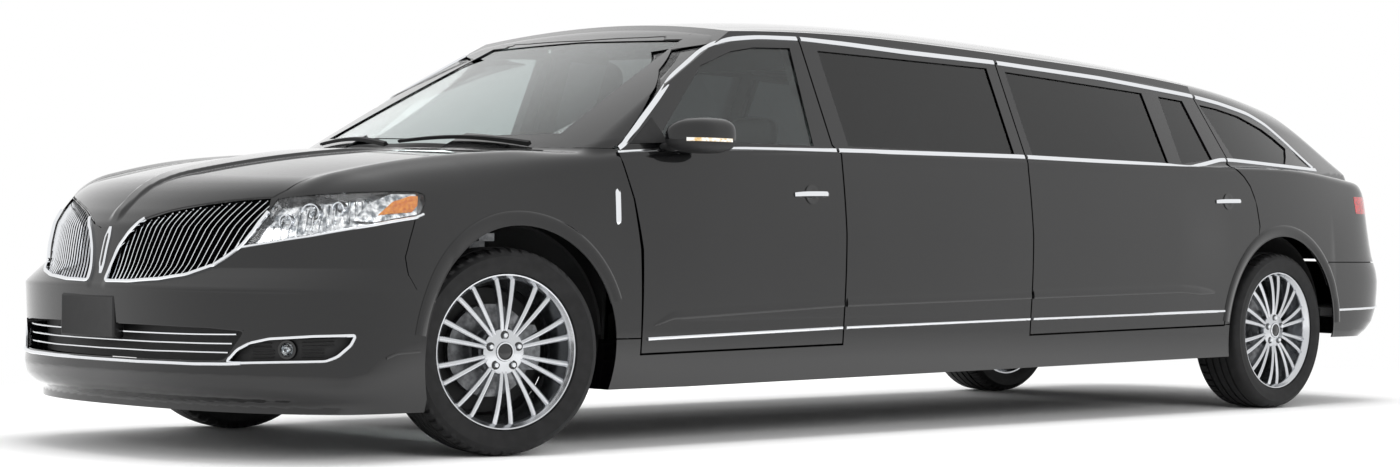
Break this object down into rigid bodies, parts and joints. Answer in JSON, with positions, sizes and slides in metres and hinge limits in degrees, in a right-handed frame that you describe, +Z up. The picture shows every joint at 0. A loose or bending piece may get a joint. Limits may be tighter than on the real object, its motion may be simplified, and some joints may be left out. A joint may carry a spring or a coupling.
{
  "type": "stretch limousine",
  "caption": "Long black stretch limousine with split chrome grille, hinged side doors, hood and tailgate, steered front wheels and free-turning wheels.",
  "frame": {"origin": "on the ground, under the middle of the bodywork's length and width", "axes": "+X towards the rear, +Y to the car's right-hand side, +Z up; the left-hand side is towards -Y"},
  "size_m": [7.051, 2.184, 1.6923],
  "materials": {
    "alloy": "polished",
    "chrome": "polished",
    "glass_clear": "light tint",
    "glass_dark": "dark tint",
    "iron": "machined",
    "leather": "grained",
    "lens_clear": "clear",
    "lens_red": "red",
    "paint": "gloss black",
    "plastic": "grained",
    "steel": "dull",
    "structure": "satin black",
    "tyre": "matt",
    "wood": "lacquered"
  },
  "bodies": {
    "chassis": {"floor_pan": "structure", "bulkhead": "structure", "side_frames": "paint", "roof_panel": "paint", "front_fenders": "paint", "rockers": "paint", "centre_panels": "paint", "rear_quarters": "paint", "front_bumper": "paint", "rear_bumper": "paint", "front_grille": "chrome", "headlamps": "lens_clear", "fog_lamps": "lens_clear", "tail_lamps": "lens_red", "windshield": "glass_clear", "centre_windows": "glass_dark", "quarter_windows": "glass_dark", "front_subframe": "structure", "front_suspension": "structure", "rear_suspension": "structure", "rear_calipers": "iron", "engine": "iron", "exhaust": "steel", "fuel_tank": "structure", "wheel_liners": "plastic", "front_seats": "leather", "rear_seats": "leather", "bar_console": "wood", "dashboard": "plastic", "steering_wheel": "plastic", "partition": "structure", "hinges": "structure"},
    "hood": {"hood": "paint"},
    "liftgate": {"liftgate": "paint", "liftgate_glass": "glass_dark"},
    "front_door_left": {"front_door_left": "paint", "front_door_glass_left": "glass_clear", "door_mirror_left": "paint"},
    "rear_door_left": {"rear_door_left": "paint", "rear_door_glass_left": "glass_dark"},
    "knuckle_left": {"knuckle_front_left": "iron"},
    "front_door_right": {"front_door_right": "paint", "front_door_glass_right": "glass_clear", "door_mirror_right": "paint"},
    "rear_door_right": {"rear_door_right": "paint", "rear_door_glass_right": "glass_dark"},
    "knuckle_right": {"knuckle_front_right": "iron"},
    "wheel_front_left": {"tyre_front_left": "tyre", "rim_front_left": "alloy", "brake_disc_front_left": "iron"},
    "wheel_front_right": {"tyre_front_right": "tyre", "rim_front_right": "alloy", "brake_disc_front_right": "iron"},
    "wheel_rear_left": {"tyre_rear_left": "tyre", "rim_rear_left": "alloy", "brake_disc_rear_left": "iron"},
    "wheel_rear_right": {"tyre_rear_right": "tyre", "rim_rear_right": "alloy", "brake_disc_rear_right": "iron"}
  },
  "joints": [
    {"name": "hood_hinge", "type": "hinge", "parent": "chassis", "child": "hood", "pos_m": [-2.1805, 0, 1.062], "axis": [0, 1, 0], "range_deg": [0, 50]},
    {"name": "liftgate_hinge", "type": "hinge", "parent": "chassis", "child": "liftgate", "pos_m": [2.8295, 0, 1.452], "axis": [0, 1, 0], "range_deg": [-75, 0]},
    {"name": "front_door_left_hinge", "type": "hinge", "parent": "chassis", "child": "front_door_left", "pos_m": [-1.7945, -0.955, 0.75], "axis": [0, 0, 1], "range_deg": [-62, 0]},
    {"name": "rear_door_left_hinge", "type": "hinge", "parent": "chassis", "child": "rear_door_left", "pos_m": [0.4885, -0.955, 0.75], "axis": [0, 0, 1], "range_deg": [-62, 0]},
    {"name": "front_door_right_hinge", "type": "hinge", "parent": "chassis", "child": "front_door_right", "pos_m": [-1.7945, 0.955, 0.75], "axis": [0, 0, 1], "range_deg": [0, 62]},
    {"name": "rear_door_right_hinge", "type": "hinge", "parent": "chassis", "child": "rear_door_right", "pos_m": [0.4885, 0.955, 0.75], "axis": [0, 0, 1], "range_deg": [0, 62]},
    {"name": "steer_left", "type": "hinge", "parent": "chassis", "child": "knuckle_left", "pos_m": [-2.3955, -0.74, 0.369], "axis": [0, 0, 1], "range_deg": [-16, 44]},
    {"name": "steer_right", "type": "hinge", "parent": "chassis", "child": "knuckle_right", "pos_m": [-2.3955, 0.74, 0.369], "axis": [0, 0, 1], "range_deg": [-16, 44]},
    {"name": "spin_front_left", "type": "hinge", "parent": "knuckle_left", "child": "wheel_front_left", "pos_m": [-2.41437, -0.81568, 0.369], "axis": [0.2419, 0.9703, 0], "continuous": true},
    {"name": "spin_front_right", "type": "hinge", "parent": "knuckle_right", "child": "wheel_front_right", "pos_m": [-2.37663, 0.81568, 0.369], "axis": [0.2419, 0.9703, 0], "continuous": true},
    {"name": "spin_rear_left", "type": "hinge", "parent": "chassis", "child": "wheel_rear_left", "pos_m": [2.3775, -0.818, 0.369], "axis": [0, 1, 0], "continuous": true},
    {"name": "spin_rear_right", "type": "hinge", "parent": "chassis", "child": "wheel_rear_right", "pos_m": [2.3775, 0.818, 0.369], "axis": [0, 1, 0], "continuous": true}
  ],
  "couplings": [
    {"joint": "steer_right", "follows": "steer_left", "ratio": 1}
  ]
}
